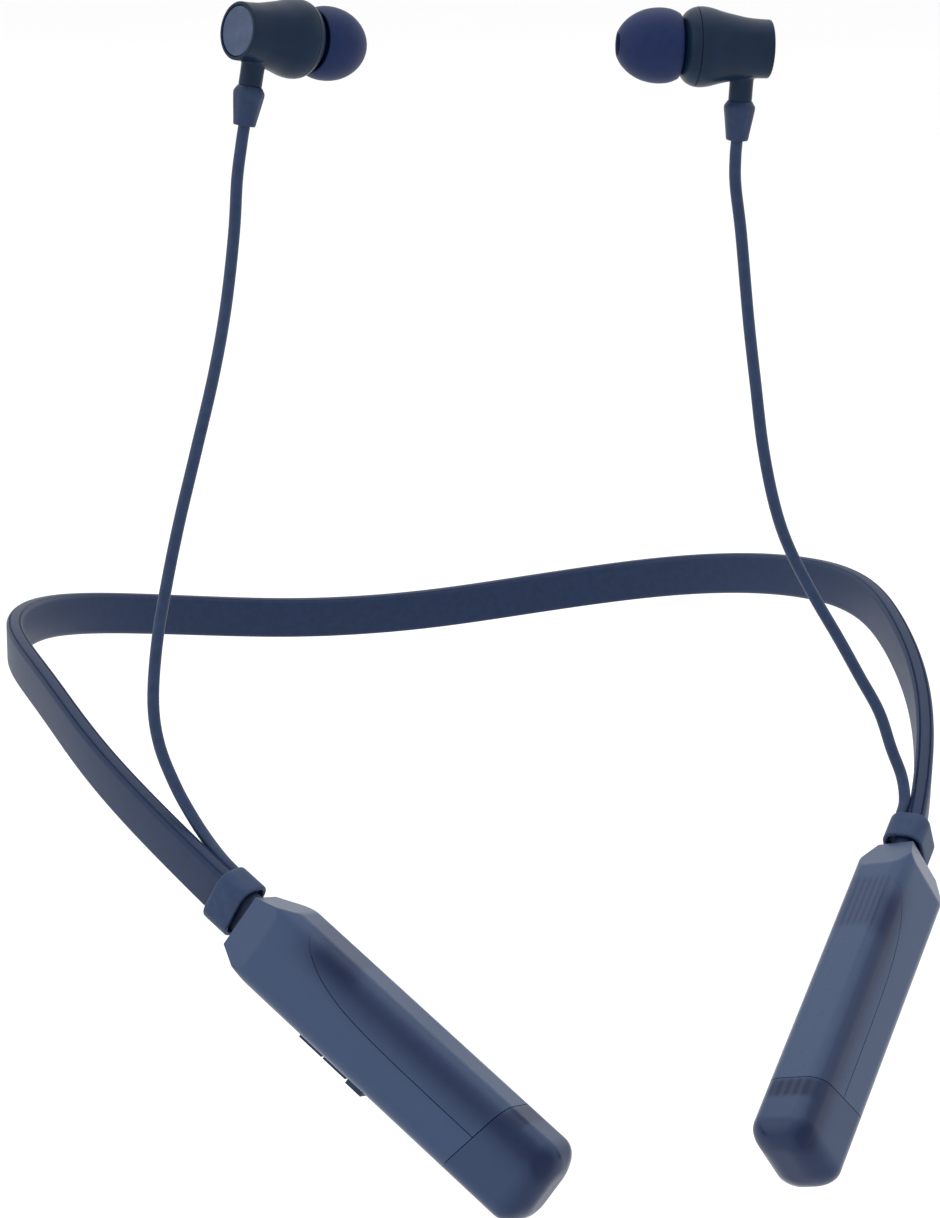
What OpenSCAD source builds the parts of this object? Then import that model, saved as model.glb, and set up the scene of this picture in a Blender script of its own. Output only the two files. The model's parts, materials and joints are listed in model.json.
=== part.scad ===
// Neckband earphones: a sprung silicone neck strip, two pods and two in-ear buds on cords.
// Units are millimetres. -Y is the open front and +Z is up.
// Left and right are as seen from the front, so the right side is at +X.
// The origin is the middle of the strip's inner face at the back of the neck.

/* [Neck strip] */
// Length of the strip from the middle of the back to one collar
strip_half = 220; // [216:1:224]
// Height of the strip's wide face
strip_h = 8.2; // [7.6:0.1:8.6]
// Thickness of the strip
strip_t = 3.1; // [2.8:0.1:3.4]

/* [Pods] */
// Length of a pod from its neck face to its tip
pod_len = 66.8; // [65:0.2:68]
// Height of a pod across its outer face
pod_h = 15; // [14.6:0.2:15.6]
// Thickness of a pod across its top face
pod_t = 10.8; // [10.6:0.2:11.4]
// Wall thickness of the pod shells
pod_wall = 1.2; // [1:0.05:1.3]
// Share of the pod's length in front of the end cap seam
cap_seam = 0.81; // [0.8:0.01:0.83]

/* [Buttons] */
// How far the volume buttons stand out of the pod
volume_proud = 0.6; // [0.4:0.1:0.8]
// How far the power button stands out of the pod
power_proud = 1.0; // [0.8:0.1:1.2]

/* [Earbuds] */
// Diameter of the housing where it is widest
bud_d = 13; // [12.8:0.1:13.6]
// Diameter of the flat back of the housing
bud_back_d = 9.5; // [9.4:0.1:10]
// Diameter of the silicone ear tip
tip_d = 12.2; // [11.6:0.1:13]

/* [Cords] */
// Diameter of the cords
cord_d = 2; // [1.8:0.1:2]

/* [Hidden] */
$fn = 48;

navy = [0.15, 0.2, 0.34];
slate = [0.25, 0.31, 0.45];
dark = [0.07, 0.09, 0.16];
steel = [0.7, 0.71, 0.74];
green = [0.1, 0.35, 0.22];

// The right side is built first, and the left side is its mirror image.
// Heading and pitch of the strip at nine even steps from the back to the collar, in degrees.
strip_heading = [0, -12, -34, -61, -76, -95, -101, -111, -119];
strip_pitch = [0, -9, -14, -14, -9, 0, 9, 14, 19];
strip_step = 4;
// The strip's bending is lumped at one sprung hinge a side, this far along the strip.
hinge_s = 76;
hinge_gap = 2.4;
knuckle_r = strip_t / 2;
knuckle_clear = 0.07;
strip_tail = 0.2;
strip_corner = 0.8;
wire_r = 0.6;
wire_clear = 0.08;

// Origin and attitude of the right pod's own axes: X runs to its tip, and Y points out of its outer face.
pod_start = [54.7, -165.9, 4];
pod_heading = -128;
pod_pitch = 26;
pod_roll = 21;
pod_corner = 3;
pod_face_x = -3.4;
pod_end_x = pod_face_x + pod_len;
// The neck face from side to side and from bottom to top, and where its four facets reach full size.
pod_neck_y = [-3.8, 2.8];
pod_neck_z = [-5.2, 4.3];
pod_shoulder_y = [4.6, 2.5];
pod_shoulder_z = [4.6, 4.6];
pod_end_r = 4;
cover_split = -1.6;
core_gap = 0.1;
core_wall = 0.8;
core_start = 6;
seam_x = pod_face_x + pod_len * cap_seam;

// The collar goes round strip and cord, and is rolled part of the way from the pod to the strip.
collar_back = -10.8;
collar_front = -5.2;
collar_floor = -6.8;
collar_y = -1.5;
collar_z = -0.2;
collar_roll = -16;
collar_h = 9.8;
collar_t = 7;
collar_r = 2.5;
collar_lip = 0.7;
neck_h = 7.8;
neck_t = 4;
neck_y = -1.2;
// Where a cord leaves its collar, in the pod's own axes.
cord_out = [-8.4, -2.6, 3.1];

// Buttons on the lower face of the left pod: middle and length along the pod.
volume_up_x = 18.7;
volume_down_x = 24.1;
power_x = 28.7;
volume_len = 5;
power_len = 3.4;
button_w = 3.8;
button_clear = 0.15;
flange = 0.5;
flange_t = 0.6;
button_y = 0.6;

// Earbuds: middle of the flat back, heading and pitch of the ear axis.
bud_right = [38.5, -125.5, 135.8];
bud_right_heading = 173;
bud_right_pitch = -2;
bud_left = [-46.9, -108.1, 138.1];
bud_left_heading = 25;
bud_left_pitch = 11;
bud_len = 12.4;
stem_x = 4.2;
stem_r = 1.95;
stem_z = -8.5;
relief_z = -15;
relief_r = 2.6;
cord_seat_z = -11.5;
nozzle_r = 2.5;
nozzle_x = 21.2;
tip_back_x = 15.6;
tip_front_x = 25.4;
tip_clear = 0.05;

// Routes of the free cords between collar and earbud.
route_right = [[59.2, -153.9, 12.6], [59.7, -150.8, 15.7], [58.6, -148.1, 19.9], [57.1, -145.3, 25.7],
    [54, -143.2, 31.6], [50.5, -141.6, 38], [45.8, -140, 46], [41.6, -138.8, 54], [38.9, -138, 61.4],
    [36.7, -136.9, 71.3], [35.5, -134.8, 82.2], [35, -131.3, 92.3], [34.5, -127.2, 105.7],
    [33.8, -125.3, 113.5]];
route_left = [[-59.2, -153.7, 12.1], [-60.8, -149.6, 13.9], [-62.6, -146.1, 16.7], [-64.7, -142.6, 20.9],
    [-66.7, -139.1, 26.9], [-67.2, -136.5, 33.5], [-66.1, -134.2, 42.5], [-64.1, -132.2, 51.6],
    [-61.4, -129.9, 61.8], [-57.8, -126.4, 72.9], [-53.8, -121.2, 84.1], [-50.5, -115, 94],
    [-48.2, -110.7, 105.4], [-47.2, -108.5, 113.8]];
cord_sides = 8;
cord_sub = 2;

// ---- vectors and frames ----
function unit(v) = v / norm(v);
function spin_x(v, a) = [v[0], v[1] * cos(a) - v[2] * sin(a), v[1] * sin(a) + v[2] * cos(a)];
function spin_y(v, a) = [v[0] * cos(a) + v[2] * sin(a), v[1], v[2] * cos(a) - v[0] * sin(a)];
function spin_z(v, a) = [v[0] * cos(a) - v[1] * sin(a), v[0] * sin(a) + v[1] * cos(a), v[2]];
function turned(v, roll, pitch, heading) = spin_z(spin_y(spin_x(v, roll), pitch), heading);
function mirrored(v) = [-v[0], v[1], v[2]];
function pod_point(v) = pod_start + turned(v, pod_roll, pod_pitch, pod_heading);

// Smooth curve through evenly spaced knots; the first knot is the point of odd symmetry.
function knot(k, i) = i < 0 ? -k[-i] : i > len(k) - 1 ? 2 * k[len(k) - 1] - k[len(k) - 2] : k[i];
function blend(a, b, c, d, f) =
    (2 * b + (c - a) * f + (2 * a - 5 * b + 4 * c - d) * f * f + (3 * b - a - 3 * c + d) * f * f * f) / 2;
function along(k, s) =
    let (u = min(s / strip_half, 1) * (len(k) - 1), i = min(floor(u), len(k) - 2), f = u - i)
    blend(knot(k, i - 1), knot(k, i), knot(k, i + 1), knot(k, i + 2), f);
function heading(s) = sign(s) * along(strip_heading, abs(s));
function pitch(s) = along(strip_pitch, abs(s)) * sign(s);
function tangent(s) = turned([1, 0, 0], 0, pitch(s), heading(s));
function outward(s) = turned([0, 1, 0], 0, pitch(s), heading(s));
function upward(s) = turned([0, 0, 1], 0, pitch(s), heading(s));
// Points of the centre line at every millimetre from the back.
spine = [for (i = 0, p = [0, strip_t / 2, 0]; i <= strip_half; p = p + tangent(i + 0.5), i = i + 1) p];
function centre(s) =
    let (q = abs(s), i = min(floor(q), strip_half), p = spine[i] + tangent(i) * (q - i))
    s < 0 ? mirrored(p) : p;
function side_of(v, s) = s < 0 ? mirrored(v) : v;
function strip_point(s, y, z) =
    let (q = abs(s)) centre(s) + side_of(outward(q) * y + upward(q) * z, s);

// ---- sweeps ----
// Section of the strip: y outward, z up, twelve points with softened corners.
function strip_section() =
    let (a = strip_t / 2, b = strip_h / 2, r = strip_corner, m = r * 0.29)
    [[a, b - r], [a - m, b - m], [a - r, b], [-a + r, b], [-a + m, b - m], [-a, b - r],
     [-a, -b + r], [-a + m, -b + m], [-a + r, -b], [a - r, -b], [a - m, -b + m], [a, -b + r]];
function wire_section(r) = [for (i = [0:5]) [r * cos(i * 60 + 30), r * sin(i * 60 + 30)]];
// Stations at a steady pitch from s0 to s1.
function stations(s0, s1) =
    let (n = ceil((s1 - s0) / strip_step)) [for (i = [0:n]) s0 + (s1 - s0) * i / n];
function tube_sides(n, rings, base, flip) =
    [for (i = [0:rings - 2], j = [0:n - 1])
        let (a = base + i * n + j, b = base + i * n + (j + 1) % n, c = b + n, d = a + n)
        each flip ? [[a, b, c], [a, c, d]] : [[a, c, b], [a, d, c]]];
function cap_ring(o, i0, flip) =
    [for (k = [0:5])
        let (a = o + 2 * k, b = o + 2 * k + 1, c = o + (2 * k + 2) % 12, p = i0 + k, q = i0 + (k + 1) % 6)
        each flip ? [[a, p, b], [b, p, q], [b, q, c]] : [[a, b, p], [b, q, p], [b, c, q]]];

// Strip with a channel for the wire.
module swept_strip(list) {
    outer = strip_section();
    inner = wire_section(wire_r + wire_clear);
    n = len(list);
    pts = concat(
        [for (s = list, p = outer) strip_point(s, p[0], p[1])],
        [for (s = list, p = inner) strip_point(s, p[0], p[1])]);
    base = 12 * n;
    faces = concat(
        tube_sides(12, n, 0, false), tube_sides(6, n, base, true),
        cap_ring(0, base, false), cap_ring(12 * (n - 1), base + 6 * (n - 1), true));
    polyhedron(points = pts, faces = faces, convexity = 6);
}

module swept_rod(pts, n, rings) {
    faces = concat(tube_sides(n, rings, 0, false),
        [[for (j = [0:n - 1]) j]], [[for (j = [n - 1:-1:0]) n * (rings - 1) + j]]);
    polyhedron(points = pts, faces = faces, convexity = 6);
}

module swept_wire(list) {
    pts = [for (s = list, p = wire_section(wire_r)) strip_point(s, p[0], p[1])];
    swept_rod(pts, 6, len(list));
}

// Round cord along a list of points, smoothed between them.
function route_at(k, i, f) =
    let (n = len(k) - 1, a = k[max(i - 1, 0)], b = k[i], c = k[min(i + 1, n)], d = k[min(i + 2, n)])
    blend(a, b, c, d, f);
function smooth(k) =
    [for (i = [0:len(k) - 2], j = [0:cord_sub - 1]) route_at(k, i, j / cord_sub), k[len(k) - 1]];
module swept_cord(list) {
    p = smooth(list);
    n = len(p);
    pts = [for (i = [0:n - 1])
        let (t = unit(p[min(i + 1, n - 1)] - p[max(i - 1, 0)]))
        let (u = unit(cross([1, 0, 0], t)), v = cross(t, u))
        each [for (j = [0:cord_sides - 1])
            let (a = j * 360 / cord_sides)
            p[i] + (u * cos(a) + v * sin(a)) * cord_d / 2]];
    swept_rod(pts, cord_sides, n);
}

// ---- placements ----
module at_strip(s) {
    translate(centre(s)) rotate([0, 0, heading(s)]) rotate([0, pitch(s), 0]) children();
}
module at_pod() {
    translate(pod_start) rotate([0, 0, pod_heading]) rotate([0, pod_pitch, 0]) rotate([pod_roll, 0, 0])
        children();
}
module opposite() { mirror([1, 0, 0]) children(); }
module at_bud_right() {
    translate(bud_right) rotate([0, 0, bud_right_heading]) rotate([0, bud_right_pitch, 0]) children();
}
module at_bud_left() {
    translate(bud_left) rotate([0, 0, bud_left_heading]) rotate([0, bud_left_pitch, 0]) children();
}

// ---- flat shapes ----
module round_rect(w, h, r) {
    square([w - 2 * r, h], center = true);
    square([w, h - 2 * r], center = true);
    for (x = [-1, 1], y = [-1, 1])
        translate([x * (w / 2 - r), y * (h / 2 - r)]) circle(r);
}
// Section in the YZ plane, drawn along X from x0 to x1.
module bar(x0, x1, w, h, r) {
    translate([x0, 0, 0]) rotate([90, 0, 90]) linear_extrude(x1 - x0) round_rect(w, h, r);
}
// Long outline with a chamfered neck end and a rounded far end.
module pod_outline(half, neck, shoulder, r, inset) {
    h = half - inset;
    face = pod_face_x + inset;
    end = pod_end_x - inset - r;
    slip = inset * 0.2;
    polygon([[face, neck[0] + inset], [shoulder[0] + slip, -h], [end, -h],
        [end, h], [shoulder[1] + slip, h], [face, neck[1] - inset]]);
    translate([end - 1, -(h - r)]) square([r + 1, 2 * (h - r)]);
    for (y = [-1, 1]) translate([end, y * (h - r)]) circle(r);
}
// The pod's outer form, drawn in by inset on every side.
module pod_form(inset) {
    r = pod_corner - inset;
    re = pod_end_r - inset;
    intersection() {
        bar(pod_face_x - 1, pod_end_x + 1, pod_t - 2 * inset, pod_h - 2 * inset, r);
        rotate([90, 0, 0]) linear_extrude(pod_t + 2, center = true)
            pod_outline(pod_h / 2, pod_neck_z, pod_shoulder_z, re, inset);
        linear_extrude(pod_h + 2, center = true)
            pod_outline(pod_t / 2, pod_neck_y, pod_shoulder_y, re, inset);
    }
}
module slab(x0, x1, y0, y1, z0, z1) {
    translate([x0, y0, z0]) cube([x1 - x0, y1 - y0, z1 - z0]);
}
module pod_shell() {
    difference() {
        pod_form(0);
        pod_form(pod_wall);
    }
}

// ---- strip ----
module strip_back() { color(navy) swept_strip(stations(-hinge_s + hinge_gap, hinge_s - hinge_gap)); }
module wire_back() { color(steel) swept_wire(stations(-hinge_s + hinge_gap, hinge_s - hinge_gap)); }
module strip_side() {
    swept_strip(concat(stations(hinge_s + hinge_gap, strip_half), [strip_half + strip_tail]));
}
module strip_right() { color(navy) strip_side(); }
module strip_left() { color(navy) opposite() strip_side(); }
module wire_side() { swept_wire(stations(hinge_s + hinge_gap, strip_half)); }
module wire_right() { color(steel) wire_side(); }
module wire_left() { color(steel) opposite() wire_side(); }
module flex_socket() {
    at_strip(hinge_s) difference() {
        bar(-hinge_gap, 0, strip_t, strip_h, strip_corner);
        cylinder(r = knuckle_r + knuckle_clear, h = strip_h + 2, center = true);
    }
}
module flex_socket_right() { color(dark) flex_socket(); }
module flex_socket_left() { color(dark) opposite() flex_socket(); }
module flex_knuckle() {
    at_strip(hinge_s) {
        bar(0, hinge_gap, strip_t, strip_h, strip_corner);
        cylinder(r = knuckle_r, h = strip_h - 2 * strip_corner, center = true);
    }
}
module flex_knuckle_right() { color(dark) flex_knuckle(); }
module flex_knuckle_left() { color(dark) opposite() flex_knuckle(); }

// ---- collar and neck ----
module at_collar(y) { at_pod() translate([0, y, collar_z]) rotate([collar_roll, 0, 0]) children(); }
module collar() {
    difference() {
        at_collar(collar_y) bar(collar_back, collar_front, collar_t, collar_h, collar_r);
        at_collar(collar_y) bar(collar_floor, collar_front + 1, collar_t - 2 * collar_lip,
            collar_h - 2 * collar_lip, collar_r - collar_lip);
        at_strip(strip_half) slab(-4.2, strip_tail, -strip_t / 2 - 0.05, strip_t / 2 + 0.05,
            -strip_h / 2 - 0.05, strip_h / 2 + 0.05);
        at_pod() translate([cord_out[0], cord_out[1], cord_out[2]]) rotate([0, -90, 0])
            cylinder(d = cord_d + 0.1, h = 4);
    }
}
module collar_right() { color(slate) collar(); }
module collar_left() { color(slate) opposite() collar(); }
module neck() { at_collar(neck_y) bar(collar_floor, pod_face_x, neck_t, neck_h, 1.9); }
module neck_right() { color(dark) neck(); }
module neck_left() { color(dark) opposite() neck(); }

// ---- pods ----
// Openings in the lower wall of the left pod: buttons, light and microphone.
module button_windows(extra) {
    for (b = [[volume_up_x, volume_len], [volume_down_x, volume_len], [power_x, power_len]])
        slab(b[0] - b[1] / 2 - extra, b[0] + b[1] / 2 + extra, button_y - button_w / 2 - extra,
            button_y + button_w / 2 + extra, -pod_h / 2 - 1, -pod_h / 2 + pod_wall + 0.5);
}
light_x = 40;
mic_x = 44;
module small_holes(extra) {
    translate([light_x, 1, -pod_h / 2 - 1]) cylinder(r = 0.7 + extra, h = 3.2);
    translate([mic_x, 1, -pod_h / 2 - 1]) cylinder(r = 0.5, h = 3.2);
}
usb_x = 42;
usb_w = 9;
usb_t = 3.3;
module usb_window() {
    translate([usb_x, 0, -pod_h / 2 - 1]) linear_extrude(4) round_rect(usb_w, usb_t, 1.6);
}
module cover_side() { slab(pod_face_x - 1, seam_x, cover_split, pod_t, -pod_h, pod_h); }
module base_side() { slab(pod_face_x - 1, seam_x, -pod_t, cover_split, -pod_h, pod_h); }
module pod_cover_left() {
    color(navy) opposite() at_pod() difference() {
        intersection() { pod_shell(); cover_side(); }
        button_windows(button_clear);
        small_holes(0);
    }
}
module pod_cover_right() {
    color(navy) at_pod() difference() {
        intersection() { pod_shell(); cover_side(); }
        usb_window();
    }
}
module pod_base_left() { color(slate) opposite() at_pod() intersection() { pod_shell(); base_side(); } }
module pod_base_right() {
    color(slate) at_pod() difference() {
        intersection() { pod_shell(); base_side(); }
        usb_window();
    }
}
module end_cap() {
    at_pod() intersection() {
        pod_shell();
        slab(seam_x, pod_end_x + 1, -pod_t, pod_t, -pod_h, pod_h);
    }
}
module end_cap_right() { color(slate) end_cap(); }
module end_cap_left() { color(slate) opposite() end_cap(); }

// Inner housing seen through the cover, ribbed near the neck.
core_half_t = pod_t / 2 - pod_wall - core_gap;
core_half_h = pod_h / 2 - pod_wall - core_gap;
core_end = seam_x - 0.5;
rib_count = 6;
module core_body() {
    difference() {
        bar(core_start, core_end, 2 * core_half_t, 2 * core_half_h, pod_corner - pod_wall - core_gap);
        bar(core_start + core_wall, core_end + 1, 2 * (core_half_t - core_wall),
            2 * (core_half_h - core_wall), 0.6);
        for (i = [0:rib_count - 1])
            slab(core_start + 1.5, core_start + 10, -2.4 + i * 0.9, -2 + i * 0.9,
                core_half_h - 0.35, core_half_h + 1);
    }
}
module core_left() {
    color(dark) opposite() at_pod() difference() {
        core_body();
        slab(volume_up_x - 4.4, power_x + 3.4, -2.6, 4.1, -pod_h, -core_half_h + core_wall + 0.5);
        small_holes(0);
    }
}
module core_right() {
    color(dark) at_pod() difference() {
        core_body();
        slab(usb_x - 5, usb_x + 5, -2.4, 2.4, -pod_h, -core_half_h + core_wall + 0.5);
    }
}

// ---- electronics ----
board_top = core_half_h - core_wall;
module main_board() {
    color(green) opposite() at_pod() {
        slab(9, core_end - 1, -0.5, 0.5, -4.4, board_top);
        slab(12, 19, -1.7, -0.5, -2, 4);
        slab(30, 34, -1.3, -0.5, 0, 4);
        slab(38, 46, 0.5, 1.5, 1, 4);
    }
}
module tact_switches() {
    color(steel) opposite() at_pod() for (x = [volume_up_x, volume_down_x, power_x])
        slab(x - 1.7, x + 1.7, 0.5, 2, -4.4, -2);
}
module status_light() {
    color([0.9, 0.92, 1]) opposite() at_pod() translate([light_x, 1, -pod_h / 2]) cylinder(r = 0.7, h = 3.1);
}
module microphone() {
    color(steel) opposite() at_pod() slab(mic_x - 1.4, mic_x + 1.4, 0.5, 1.5, -4.4, -2.6);
}
module button(x, len_x, proud) {
    color(slate) opposite() at_pod() {
        slab(x - len_x / 2, x + len_x / 2, button_y - button_w / 2, button_y + button_w / 2,
            -pod_h / 2 - proud, -pod_h / 2 + pod_wall + 0.15);
        slab(x - len_x / 2 - 0.05, x + len_x / 2 + 0.05, button_y - button_w / 2 - flange,
            button_y + button_w / 2 + flange, -pod_h / 2 + pod_wall + 0.15,
            -pod_h / 2 + pod_wall + 0.15 + flange_t);
        translate([x, 1.25, -5.6]) cylinder(d = 1.4, h = 0.7);
    }
}
module button_volume_up() { button(volume_up_x, volume_len, volume_proud); }
module button_volume_down() { button(volume_down_x, volume_len, volume_proud); }
module button_power() { button(power_x, power_len, power_proud); }
module battery() { color(steel) at_pod() slab(9, 34, -core_half_t + core_wall, 2.2, -4.6, 4.6); }
module charge_board() {
    color(green) at_pod() {
        slab(35, core_end - 1, 1.8, 2.6, -4.4, board_top);
        slab(36, 39, 1, 1.8, 1, 4);
    }
}
module usb_port() {
    color(steel) at_pod() difference() {
        translate([usb_x, 0, -pod_h / 2 + 0.2]) linear_extrude(7) round_rect(usb_w - 0.1, usb_t - 0.1, 1.5);
        translate([usb_x, 0, -pod_h / 2]) linear_extrude(6.2) round_rect(usb_w - 0.7, usb_t - 0.7, 1.2);
    }
}

// ---- cords ----
cord_exit_right = [for (back = [0, 1.2, 3]) pod_point(cord_out - [back, 0, 0])];
function bud_point_right(v) = bud_right + turned(v, 0, bud_right_pitch, bud_right_heading);
function bud_point_left(v) = bud_left + turned(v, 0, bud_left_pitch, bud_left_heading);
module cord_right() {
    color(navy) swept_cord(concat(cord_exit_right, route_right,
        [bud_point_right([stem_x, 0, relief_z - 3]), bud_point_right([stem_x, 0, relief_z]),
         bud_point_right([stem_x, 0, cord_seat_z])]));
}
module cord_left() {
    color(navy) swept_cord(concat([for (p = cord_exit_right) mirrored(p)], route_left,
        [bud_point_left([stem_x, 0, relief_z - 3]), bud_point_left([stem_x, 0, relief_z]),
         bud_point_left([stem_x, 0, cord_seat_z])]));
}

// ---- earbuds, ear axis along +X ----
module turned_x(points) { rotate([0, 90, 0]) rotate_extrude() polygon([for (p = points) [p[1], p[0]]]); }
bud_r = bud_d / 2;
back_r = bud_back_d / 2;
module bud_rear() {
    difference() {
        union() {
            turned_x([[0, 0], [0, back_r - 0.3], [0.3, back_r], [4, back_r + 0.25], [8, bud_r - 0.75],
                [10.6, bud_r - 0.1], [11.4, bud_r], [bud_len, bud_r], [bud_len, 0]]);
            translate([stem_x, 0, stem_z]) cylinder(r = stem_r, h = -stem_z);
        }
        turned_x([[-1, 0], [-1, back_r - 0.6], [0.8, back_r - 0.6], [0.8, back_r - 0.8], [6, back_r - 0.6],
            [7.6, bud_r - 1.45], [bud_len + 1, bud_r - 0.9], [bud_len + 1, 0]]);
        translate([stem_x, 0, stem_z - 1]) cylinder(r = 1, h = 3 - stem_z);
    }
}
module bud_front() {
    difference() {
        turned_x([[bud_len, 0], [bud_len, bud_r], [13, bud_r - 0.2], [14, bud_r - 0.9], [14.8, bud_r - 2],
            [15.2, bud_r - 3], [15.3, nozzle_r], [nozzle_x, nozzle_r], [nozzle_x, 0]]);
        turned_x([[bud_len - 1, 0], [bud_len - 1, 4.4], [13.4, 4.4], [14.4, 1.9], [nozzle_x + 1, 1.9],
            [nozzle_x + 1, 0]]);
    }
}
module back_plate() {
    turned_x([[0.1, 0], [0.1, back_r - 0.75], [0.2, back_r - 0.65], [0.8, back_r - 0.65], [0.8, 0]]);
}
module magnet() { turned_x([[0.8, 0], [0.8, 3.4], [2.6, 3.4], [2.6, 0]]); }
module driver() {
    turned_x([[8.6, 0], [8.6, 3], [9.4, 3], [9.4, 4.9], [bud_len, 4.9], [bud_len, 0]]);
}
module mesh() { turned_x([[nozzle_x - 0.4, 0], [nozzle_x - 0.4, 1.9], [nozzle_x, 1.9], [nozzle_x, 0]]); }
module relief() {
    translate([stem_x, 0, 0]) difference() {
        rotate_extrude() polygon([[0, stem_z], [stem_r + 0.05, stem_z], [relief_r, stem_z - 1],
            [relief_r - 0.05, -11],
            [2.1, -13.5], [1.85, relief_z + 0.3], [1.6, relief_z], [0, relief_z]]);
        translate([0, 0, relief_z - 1]) cylinder(d = cord_d + 0.1, h = cord_seat_z - relief_z + 1);
        translate([0, 0, relief_z]) cylinder(r = 0.7, h = 8);
    }
}
module eartip() {
    r = tip_d / 2;
    rotate([0, 90, 0]) rotate_extrude()
        polygon([[nozzle_r + tip_clear, tip_back_x], [nozzle_r + 0.9, tip_back_x], [nozzle_r + 1, 22.6],
            [r - 1.3, 20.8], [r - 0.8, 17.8], [r - 1, 15.4], [r - 0.5, 15.2], [r - 0.1, 16.8],
            [r, 18.6], [r - 0.2, 20.3], [r - 0.87, 22.2], [r - 1.76, 23.6], [r - 2.77, 24.6],
            [r - 3.65, 25.2], [2.1, tip_front_x], [1.8, 25.1], [1.8, 21.6], [nozzle_r + tip_clear, 21.6]]);
}
module bud_rear_right() { color(navy) at_bud_right() bud_rear(); }
module bud_rear_left() { color(navy) at_bud_left() bud_rear(); }
module bud_front_right() { color(slate) at_bud_right() bud_front(); }
module bud_front_left() { color(slate) at_bud_left() bud_front(); }
module back_plate_right() { color(slate) at_bud_right() back_plate(); }
module back_plate_left() { color(slate) at_bud_left() back_plate(); }
module magnet_right() { color(steel) at_bud_right() magnet(); }
module magnet_left() { color(steel) at_bud_left() magnet(); }
module driver_right() { color(steel) at_bud_right() driver(); }
module driver_left() { color(steel) at_bud_left() driver(); }
module mesh_right() { color(steel) at_bud_right() mesh(); }
module mesh_left() { color(steel) at_bud_left() mesh(); }
module relief_right() { color(navy) at_bud_right() relief(); }
module relief_left() { color(navy) at_bud_left() relief(); }
module eartip_right() { color(navy) at_bud_right() eartip(); }
module eartip_left() { color(navy) at_bud_left() eartip(); }

strip_back();
wire_back();
flex_socket_left();
flex_socket_right();
strip_left();
strip_right();
wire_left();
wire_right();
flex_knuckle_left();
flex_knuckle_right();
collar_left();
collar_right();
neck_left();
neck_right();
pod_cover_left();
pod_cover_right();
pod_base_left();
pod_base_right();
end_cap_left();
end_cap_right();
core_left();
core_right();
main_board();
tact_switches();
status_light();
microphone();
button_volume_up();
button_volume_down();
button_power();
battery();
charge_board();
usb_port();
cord_left();
cord_right();
relief_left();
relief_right();
bud_rear_left();
bud_rear_right();
bud_front_left();
bud_front_right();
back_plate_left();
back_plate_right();
magnet_left();
magnet_right();
driver_left();
driver_right();
mesh_left();
mesh_right();
eartip_left();
eartip_right();
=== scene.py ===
"""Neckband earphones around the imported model.

The script's own lengths are millimetres in the row frame, turned into metres by mm().
Left and right are as seen from the front. A right piece is built first, and its mirror image is the left one.
"""
import json
import math

import bmesh
import bpy
from mathutils import Matrix, Vector

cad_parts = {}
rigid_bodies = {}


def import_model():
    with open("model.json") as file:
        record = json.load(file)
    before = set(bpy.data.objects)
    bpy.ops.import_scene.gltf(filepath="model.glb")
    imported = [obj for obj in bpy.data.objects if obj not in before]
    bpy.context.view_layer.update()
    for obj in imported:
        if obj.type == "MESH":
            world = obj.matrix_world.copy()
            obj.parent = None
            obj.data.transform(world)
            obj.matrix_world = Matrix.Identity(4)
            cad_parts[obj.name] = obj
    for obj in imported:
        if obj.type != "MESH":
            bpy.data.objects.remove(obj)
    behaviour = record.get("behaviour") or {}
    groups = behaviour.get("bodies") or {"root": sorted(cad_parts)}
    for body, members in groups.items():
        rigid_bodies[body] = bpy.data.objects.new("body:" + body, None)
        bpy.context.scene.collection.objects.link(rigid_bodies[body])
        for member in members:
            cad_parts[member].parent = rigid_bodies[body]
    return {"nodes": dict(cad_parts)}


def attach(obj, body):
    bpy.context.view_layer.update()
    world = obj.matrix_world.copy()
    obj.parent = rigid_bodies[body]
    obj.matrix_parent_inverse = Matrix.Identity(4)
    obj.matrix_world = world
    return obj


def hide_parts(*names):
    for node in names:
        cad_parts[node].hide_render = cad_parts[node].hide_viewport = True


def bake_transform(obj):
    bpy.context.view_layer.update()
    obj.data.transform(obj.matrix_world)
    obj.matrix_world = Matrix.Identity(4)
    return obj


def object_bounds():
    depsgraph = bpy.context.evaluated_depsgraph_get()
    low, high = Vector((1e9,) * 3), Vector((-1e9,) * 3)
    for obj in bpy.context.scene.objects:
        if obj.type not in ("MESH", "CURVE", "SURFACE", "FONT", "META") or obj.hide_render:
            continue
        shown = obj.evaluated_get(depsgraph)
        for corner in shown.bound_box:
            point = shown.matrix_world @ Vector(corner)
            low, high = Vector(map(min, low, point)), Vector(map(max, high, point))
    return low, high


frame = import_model()
cad_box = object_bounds()
NODES = frame["nodes"]

# ---------------------------------------------------------------- lengths, as in the CAD source
STRIP_HALF = 220.0
STRIP_H = 8.2
STRIP_T = 3.1
STRIP_TAIL = 0.2
HEADING = [0, -12, -34, -61, -76, -95, -101, -111, -119]
PITCH = [0, -9, -14, -14, -9, 0, 9, 14, 19]
HINGE_S = 76.0
FLEX_REACH = 20.0

POD_START = Vector((54.7, -165.9, 4.0))
POD_TURN = (21.0, 26.0, -128.0)
POD_LEN = 66.8
POD_FACE = -3.4
POD_TIP = POD_FACE + POD_LEN
POD_H = 15.0
POD_T = 10.8
POD_NECK_Y = (-3.8, 2.8)
POD_NECK_Z = (-5.2, 4.3)
POD_SHOULDER_Y = (4.6, 2.5)
POD_SHOULDER_Z = (4.6, 4.6)
POD_CORNER = 3.0
POD_END = 4.0
POD_WALL = 1.2

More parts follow.
